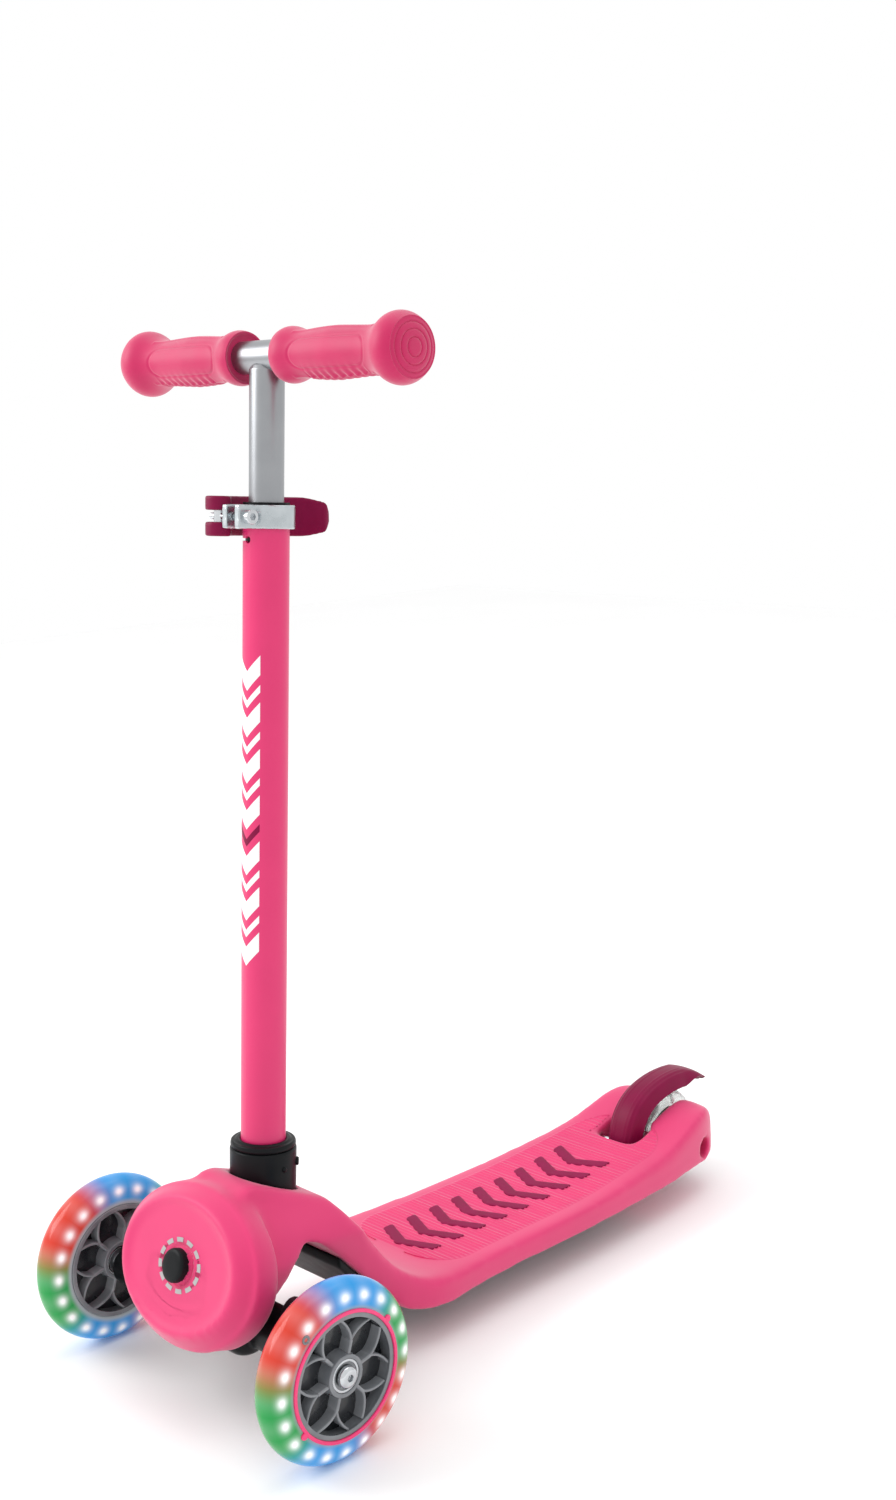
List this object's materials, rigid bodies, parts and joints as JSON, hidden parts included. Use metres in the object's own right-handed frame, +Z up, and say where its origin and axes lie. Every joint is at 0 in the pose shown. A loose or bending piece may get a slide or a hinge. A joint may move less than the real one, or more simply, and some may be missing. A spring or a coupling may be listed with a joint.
{
  "type": "kick scooter",
  "caption": "Child's kick scooter with a telescoping steering bar on a leaning front truck with lit wheels, and a rear wheel under a foot brake.",
  "frame": {"origin": "on the ground, under the middle of the overall length and width, wheels resting on the ground at z = 0", "axes": "+X forward (towards the two-wheeled head), +Y the rider's left, +Z up"},
  "size_m": [0.5864, 0.281, 0.7176],
  "materials": {
    "deck_plastic": "satin moulded pink plastic",
    "black_plastic": "fine textured black plastic",
    "screw_steel": "zinc plated steel",
    "pink_paint": "satin powder coat",
    "clamp_alloy": "satin cast aluminium",
    "spring_steel": "drawn wire",
    "berry_inlay": "matte printed anti-slip inlay",
    "silver_tube": "satin anodised",
    "grip_rubber": "matte moulded rubber",
    "berry_plastic": "satin moulded dark pink plastic",
    "truck_plastic": "satin glass filled nylon",
    "bushing_rubber": "matte",
    "magnet_steel": "plated magnet sleeve",
    "clear_tyre": "clear cast polyurethane",
    "lit_tyre": "clear cast polyurethane, lit from inside",
    "rear_core": "moulded grey-green core",
    "rim_plastic": "translucent smoke grey core",
    "light_lens": "frosted lenses on a white band",
    "pink_ring": "glossy moulded ring",
    "bearing_steel": "polished races with dark shields"
  },
  "bodies": {
    "deck": {"deck_shell": "deck_plastic", "underframe": "black_plastic", "arch_liner": "black_plastic", "underframe_screws": "screw_steel", "front_cover": "deck_plastic", "bar_socket": "black_plastic", "collar_ring": "black_plastic", "lower_tube": "pink_paint", "guide_sleeve": "black_plastic", "clamp_band": "clamp_alloy", "clamp_bolt": "screw_steel", "clamp_washer": "screw_steel", "barrel_nut": "screw_steel", "steering_bracket": "black_plastic", "bracket_screws": "screw_steel", "kingpin": "screw_steel", "centring_spring_left": "spring_steel", "centring_spring_right": "spring_steel", "lock_spring": "spring_steel", "release_spring": "spring_steel", "rear_axle_bolt": "screw_steel", "rear_axle_nut": "screw_steel", "rear_spacers": "screw_steel", "rear_hub_sleeve": "screw_steel", "brake_pin": "screw_steel", "brake_spring": "spring_steel", "deck_inlay": "berry_inlay"},
    "handlebar": {"upper_tube": "silver_tube", "guide_bush": "black_plastic", "cross_tube": "silver_tube", "grip_left": "grip_rubber", "grip_right": "grip_rubber"},
    "clamp_lever": {"clamp_lever": "berry_plastic"},
    "lock_button": {"lock_button": "black_plastic"},
    "release_button": {"release_button": "black_plastic"},
    "front_truck": {"truck_beam": "truck_plastic", "pivot_bushings": "bushing_rubber", "axle_spacers": "screw_steel", "axle_bolt_left": "screw_steel", "axle_bolt_right": "screw_steel", "magnet_sleeve_left": "magnet_steel", "magnet_sleeve_right": "magnet_steel"},
    "rear_wheel": {"rear_tyre": "clear_tyre", "rear_rim": "rear_core", "rear_bearing_left": "bearing_steel", "rear_bearing_right": "bearing_steel"},
    "brake": {"brake": "berry_plastic"},
    "front_wheel_left": {"front_tyre_left": "lit_tyre", "front_rim_left": "rim_plastic", "light_ring_left": "light_lens", "rim_ring_left": "pink_ring", "inner_bearing_left": "bearing_steel", "outer_bearing_left": "bearing_steel"},
    "front_wheel_right": {"front_tyre_right": "lit_tyre", "front_rim_right": "rim_plastic", "light_ring_right": "light_lens", "rim_ring_right": "pink_ring", "inner_bearing_right": "bearing_steel", "outer_bearing_right": "bearing_steel"}
  },
  "joints": [
    {"name": "bar_height", "type": "slide", "parent": "deck", "child": "handlebar", "axis": [-0.0706, 0, 0.9975], "range_m": [0, 0.11]},
    {"name": "clamp_lever_swing", "type": "hinge", "parent": "deck", "child": "clamp_lever", "pos_m": [0.1764, -0.02, 0.59309], "axis": [-0.0706, 0, 0.9975], "range_deg": [0, 120]},
    {"name": "lean_steer", "type": "hinge", "parent": "deck", "child": "front_truck", "pos_m": [0.22675, 0, 0.058], "axis": [0.5, 0, 0.866], "range_deg": [-10, 10], "stiffness_Nm_per_rad": 8, "deforming": ["centring_spring_left", "centring_spring_right"]},
    {"name": "front_wheel_spin_left", "type": "hinge", "parent": "front_truck", "child": "front_wheel_left", "pos_m": [0.23275, 0.1225, 0.0605], "axis": [0, 1, 0], "continuous": true},
    {"name": "front_wheel_spin_right", "type": "hinge", "parent": "front_truck", "child": "front_wheel_right", "pos_m": [0.23275, -0.1225, 0.0605], "axis": [0, 1, 0], "continuous": true},
    {"name": "rear_wheel_spin", "type": "hinge", "parent": "deck", "child": "rear_wheel", "pos_m": [-0.24425, 0, 0.04], "axis": [0, 1, 0], "continuous": true},
    {"name": "brake_press", "type": "hinge", "parent": "deck", "child": "brake", "pos_m": [-0.19425, 0, 0.046], "axis": [0, -1, 0], "range_deg": [0, 7], "stiffness_Nm_per_rad": 3, "springref_deg": -1.15, "deforming": ["brake_spring"]},
    {"name": "steering_lock_press", "type": "slide", "parent": "deck", "child": "lock_button", "axis": [-0.9397, 0, -0.342], "range_m": [0, 0.0045], "stiffness_N_per_m": 600, "springref_m": -0.001, "deforming": ["lock_spring"]},
    {"name": "bar_release_press", "type": "slide", "parent": "deck", "child": "release_button", "axis": [0.7053, -0.7071, 0.0499], "range_m": [0, 0.004], "stiffness_N_per_m": 600, "springref_m": -0.001, "deforming": ["release_spring"]}
  ]
}
